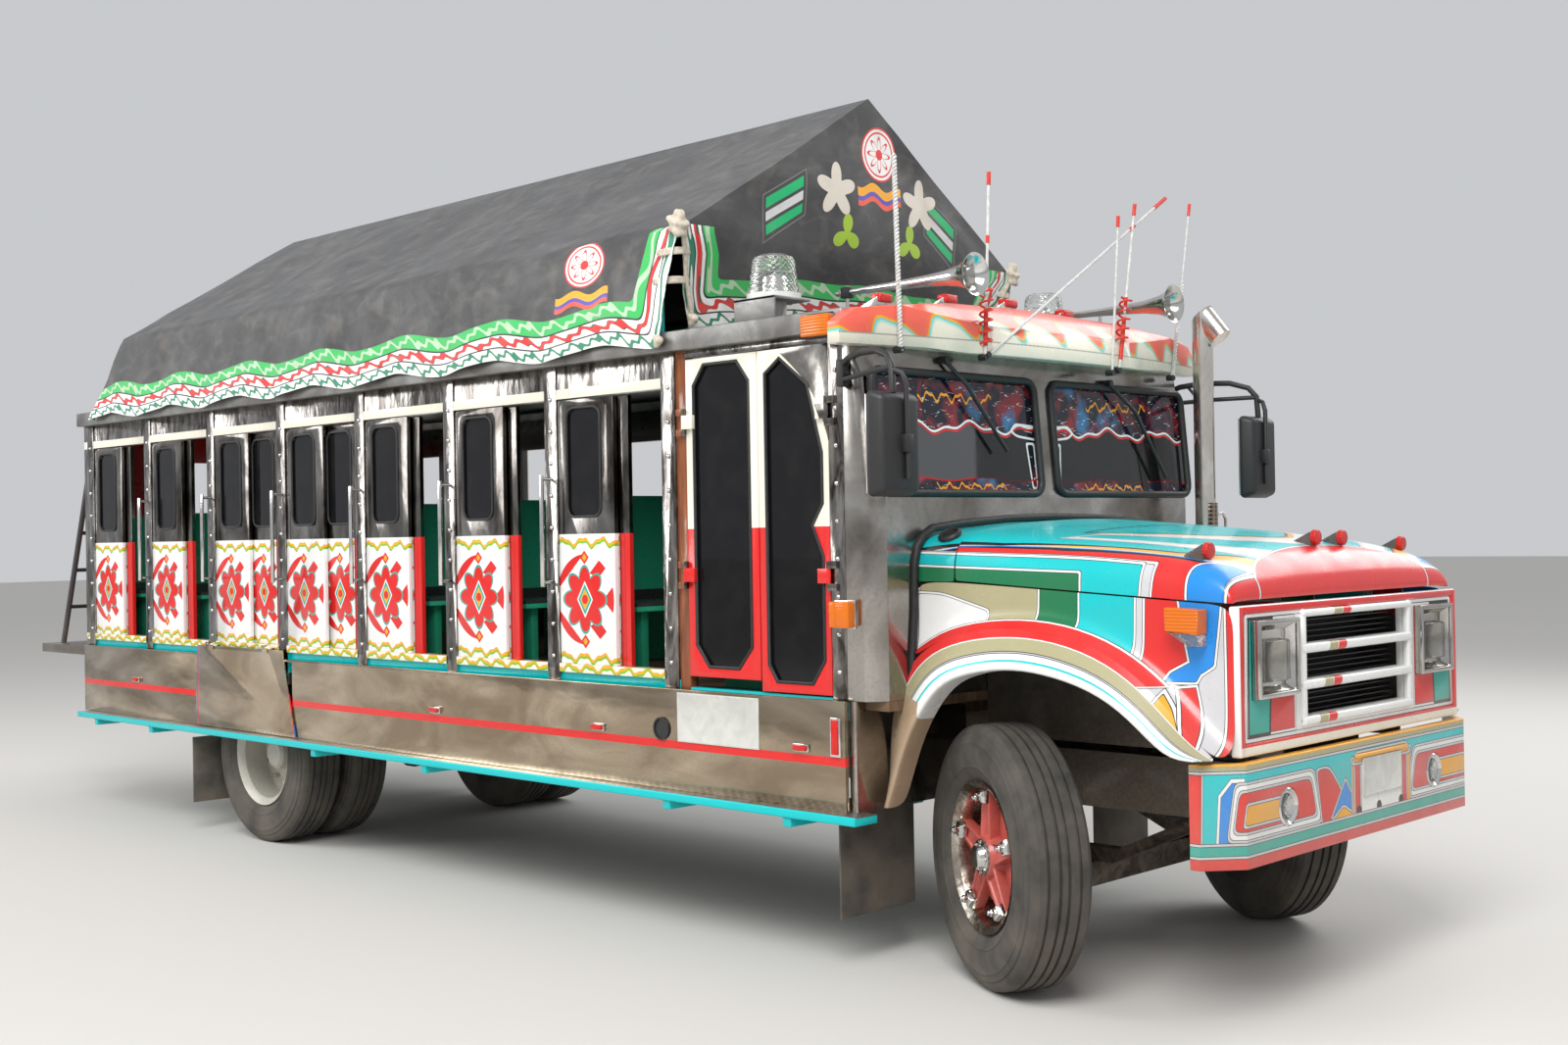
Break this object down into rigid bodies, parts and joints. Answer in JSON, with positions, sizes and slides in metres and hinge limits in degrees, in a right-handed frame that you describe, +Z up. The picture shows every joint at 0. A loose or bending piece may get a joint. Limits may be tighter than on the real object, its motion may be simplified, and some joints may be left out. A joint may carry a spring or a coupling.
{
  "type": "chiva bus",
  "caption": "Long-nosed country bus with open bench bays, sliding bay doors, a tarpaulin-covered roof rack and steered front wheels.",
  "frame": {"origin": "on the ground below the middle of the bus's overall box", "axes": "+X forward, +Y to the bus's left, +Z up"},
  "size_m": [9.55, 3.03, 3.96],
  "materials": {
    "steel_frame": "satin black paint",
    "cast_steel": "dusty cast steel",
    "engine_paint": "oily grey paint",
    "core_black": "matt black fins",
    "tank_paint": "satin black",
    "stack_chrome": "polished tube, heat tinted",
    "tyre_rubber": "dusty rubber",
    "wheel_paint": "red casting in a silver rim",
    "rear_rim_paint": "cream-silver paint",
    "floor_wood": "worn planks",
    "bench_paint": "green gloss paint",
    "polished_steel": "mirror-polished stainless sheet",
    "dark_chrome": "polished posts",
    "leaf_panel": "polished leaf with a painted lower half",
    "door_paint": "red below, cream above",
    "left_wall_paint": "cream paint",
    "rear_wall_paint": "red paint",
    "roof_sheet": "dull sheet",
    "visor_paint": "cream with flames",
    "rack_paint": "green paint",
    "tarp_cloth": "coated grey-black canvas",
    "nose_paint": "white with coloured bands",
    "bonnet_paint": "turquoise with coloured bands",
    "grille_paint": "white gloss",
    "bumper_paint": "turquoise with panels",
    "board_paint": "turquoise edge, chequer plate top",
    "platform_paint": "dark steel",
    "flap_rubber": "worn rubber sheet",
    "mirror_plastic": "grained black",
    "bright_chrome": "bright chrome",
    "lamp_lens": "lamp lens",
    "screen_glass": "tinted glass",
    "dash_vinyl": "black moulding",
    "wheel_plastic": "black rim"
  },
  "bodies": {
    "vehicle": {"chassis_frame": "steel_frame", "front_axle": "cast_steel", "leaf_springs": "cast_steel", "rear_axle": "cast_steel", "engine_block": "engine_paint", "radiator": "core_black", "fuel_tank": "tank_paint", "exhaust_stack": "stack_chrome", "floor": "floor_wood", "benches": "bench_paint", "right_side_frame": "dark_chrome", "fixed_leaves": "leaf_panel", "left_side_wall": "left_wall_paint", "rear_wall": "rear_wall_paint", "rear_platform": "platform_paint", "roof": "roof_sheet", "visor": "visor_paint", "roof_rack": "rack_paint", "tarpaulin": "tarp_cloth", "wings": "nose_paint", "cowl": "bonnet_paint", "grille": "grille_paint", "lamps": "lamp_lens", "front_bumper": "bumper_paint", "cab_front": "polished_steel", "windscreen": "screen_glass", "dashboard": "dash_vinyl", "steering_wheel": "wheel_plastic", "skirts": "polished_steel", "running_boards": "board_paint", "mudflaps": "flap_rubber", "mirrors": "mirror_plastic", "horns": "bright_chrome", "grab_rails": "bright_chrome"},
    "steer_right_body": {"knuckle_right": "cast_steel"},
    "steer_left_body": {"knuckle_left": "cast_steel"},
    "tie_rod_body": {"tie_rod": "cast_steel"},
    "wheel_front_right": {"front_tyre_right": "tyre_rubber", "front_wheel_right": "wheel_paint"},
    "wheel_front_left": {"front_tyre_left": "tyre_rubber", "front_wheel_left": "wheel_paint"},
    "wheels_rear_right": {"rear_tyres_right": "tyre_rubber", "rear_wheels_right": "rear_rim_paint"},
    "wheels_rear_left": {"rear_tyres_left": "tyre_rubber", "rear_wheels_left": "rear_rim_paint"},
    "bonnet_body": {"bonnet": "bonnet_paint"},
    "cab_door_rear_body": {"cab_door_rear": "door_paint"},
    "cab_door_front_body": {"cab_door_front": "door_paint"},
    "driver_door_body": {"driver_door": "door_paint"},
    "cover_right_body": {"wheel_cover_right": "polished_steel"},
    "cover_left_body": {"wheel_cover_left": "polished_steel"},
    "bay_door_1_body": {"bay_door_1": "leaf_panel"},
    "bay_door_2_body": {"bay_door_2": "leaf_panel"},
    "bay_door_3_body": {"bay_door_3": "leaf_panel"},
    "bay_door_4_body": {"bay_door_4": "leaf_panel"},
    "bay_door_5_body": {"bay_door_5": "leaf_panel"},
    "bay_door_6_body": {"bay_door_6": "leaf_panel"},
    "bay_door_7_body": {"bay_door_7": "leaf_panel"}
  },
  "joints": [
    {"name": "steer_right", "type": "hinge", "parent": "vehicle", "child": "steer_right_body", "pos_m": [3.753, -0.78, 0.525], "axis": [0, 0, 1], "range_deg": [-6, 64]},
    {"name": "steer_left", "type": "hinge", "parent": "vehicle", "child": "steer_left_body", "pos_m": [3.753, 0.78, 0.525], "axis": [0, 0, 1], "range_deg": [-6, 64]},
    {"name": "tie_rod_pivot", "type": "hinge", "parent": "steer_right_body", "child": "tie_rod_body", "pos_m": [3.60432, -0.69758, 0.397], "axis": [0, 0, 1], "range_deg": [-64, 6]},
    {"name": "spin_front_right", "type": "hinge", "parent": "steer_right_body", "child": "wheel_front_right", "pos_m": [3.753, -0.78, 0.525], "axis": [0.4848, 0.8746, 0], "continuous": true},
    {"name": "spin_front_left", "type": "hinge", "parent": "steer_left_body", "child": "wheel_front_left", "pos_m": [3.753, 0.78, 0.525], "axis": [0.4848, 0.8746, 0], "continuous": true},
    {"name": "spin_rear_right", "type": "hinge", "parent": "vehicle", "child": "wheels_rear_right", "pos_m": [-1.775, -1, 0.525], "axis": [0, 1, 0], "continuous": true},
    {"name": "spin_rear_left", "type": "hinge", "parent": "vehicle", "child": "wheels_rear_left", "pos_m": [-1.775, 1, 0.525], "axis": [0, 1, 0], "continuous": true},
    {"name": "bonnet_hinge", "type": "hinge", "parent": "vehicle", "child": "bonnet_body", "pos_m": [3.34, 0, 1.8], "axis": [0, -1, 0], "range_deg": [0, 50]},
    {"name": "cab_door_rear_hinge", "type": "hinge", "parent": "vehicle", "child": "cab_door_rear_body", "pos_m": [2.169, -1.21, 1.9], "axis": [0, 0, -1], "range_deg": [0, 90]},
    {"name": "cab_door_front_hinge", "type": "hinge", "parent": "vehicle", "child": "cab_door_front_body", "pos_m": [3.041, -1.21, 1.9], "axis": [0, 0, 1], "range_deg": [0, 90]},
    {"name": "driver_door_hinge", "type": "hinge", "parent": "vehicle", "child": "driver_door_body", "pos_m": [3.041, 1.21, 1.9], "axis": [0, 0, -1], "range_deg": [0, 75]},
    {"name": "cover_right_hinge", "type": "hinge", "parent": "vehicle", "child": "cover_right_body", "pos_m": [-1.775, -1.236, 1.192], "axis": [-1, 0, 0], "range_deg": [0, 85]},
    {"name": "cover_left_hinge", "type": "hinge", "parent": "vehicle", "child": "cover_left_body", "pos_m": [-1.775, 1.236, 1.192], "axis": [1, 0, 0], "range_deg": [0, 85]},
    {"name": "bay_door_1_slide", "type": "slide", "parent": "vehicle", "child": "bay_door_1_body", "axis": [1, 0, 0], "range_m": [0, 0.268]},
    {"name": "bay_door_2_slide", "type": "slide", "parent": "vehicle", "child": "bay_door_2_body", "axis": [1, 0, 0], "range_m": [0, 0.268]},
    {"name": "bay_door_3_slide", "type": "slide", "parent": "vehicle", "child": "bay_door_3_body", "axis": [-1, 0, 0], "range_m": [0, 0.268]},
    {"name": "bay_door_4_slide", "type": "slide", "parent": "vehicle", "child": "bay_door_4_body", "axis": [-1, 0, 0], "range_m": [0, 0.268]},
    {"name": "bay_door_5_slide", "type": "slide", "parent": "vehicle", "child": "bay_door_5_body", "axis": [1, 0, 0], "range_m": [0, 0.268]},
    {"name": "bay_door_6_slide", "type": "slide", "parent": "vehicle", "child": "bay_door_6_body", "axis": [1, 0, 0], "range_m": [0, 0.268]},
    {"name": "bay_door_7_slide", "type": "slide", "parent": "vehicle", "child": "bay_door_7_body", "axis": [1, 0, 0], "range_m": [0, 0.268]}
  ],
  "couplings": [
    {"joint": "steer_left", "follows": "steer_right", "ratio": 1},
    {"joint": "tie_rod_pivot", "follows": "steer_right", "ratio": -1}
  ]
}
